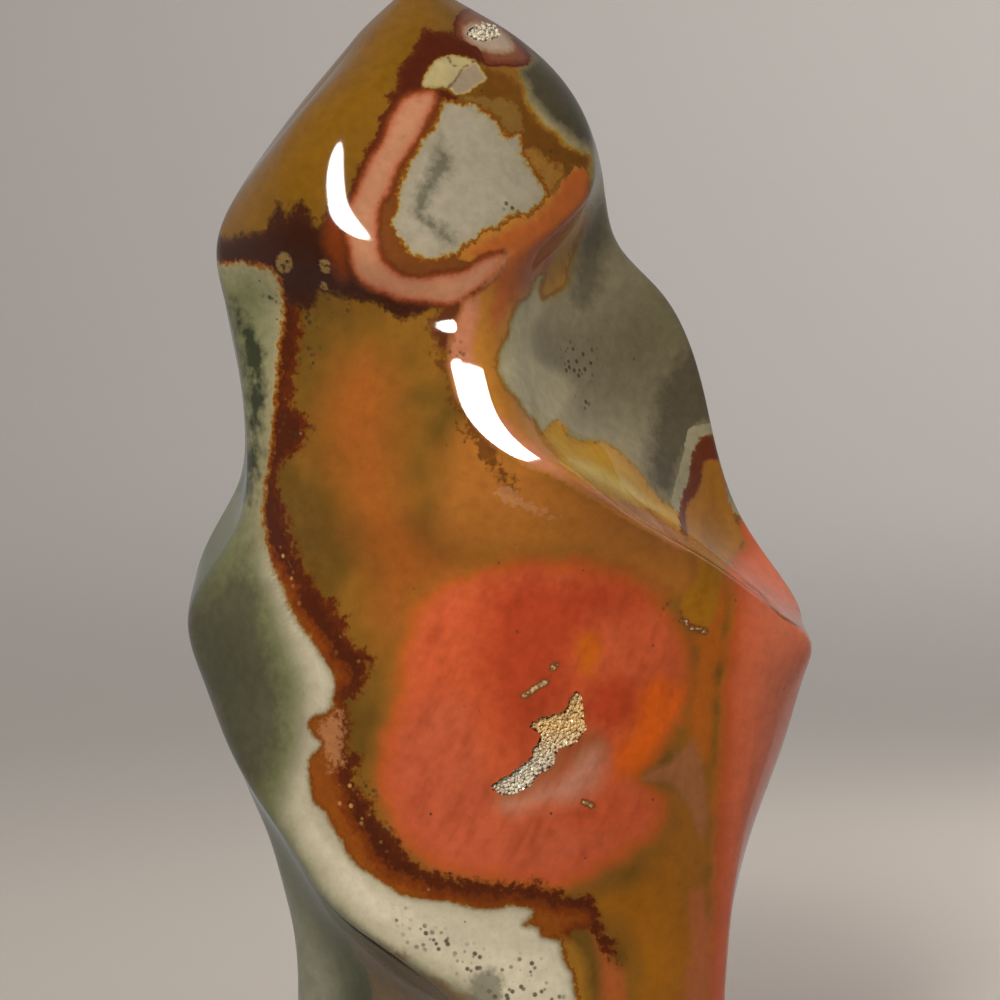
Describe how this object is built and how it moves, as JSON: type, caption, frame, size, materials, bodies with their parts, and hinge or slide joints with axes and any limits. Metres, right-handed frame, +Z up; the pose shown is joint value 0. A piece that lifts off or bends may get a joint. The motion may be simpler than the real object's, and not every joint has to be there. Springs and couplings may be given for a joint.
{
  "type": "polished stone freeform",
  "caption": "Upright flame-shaped polished jasper freeform with twisting ridges, small crystal-lined hollows and a flat base to stand on.",
  "frame": {"origin": "middle of the stone's bounding box at the level of its flat base", "axes": "+Z up from the flat base to the tip of the flame, +X to the right as seen from the front, the broad marked face looks along -Y"},
  "size_m": [0.0976, 0.0594, 0.172],
  "materials": {
    "polished_jasper": "ground and polished to a wet-looking gloss",
    "druse_crystal": "natural small quartz points"
  },
  "bodies": {
    "root": {"jasper_stone": "polished_jasper", "druse_crust": "druse_crystal", "tip_druse_crust": "druse_crystal"}
  },
  "joints": []
}
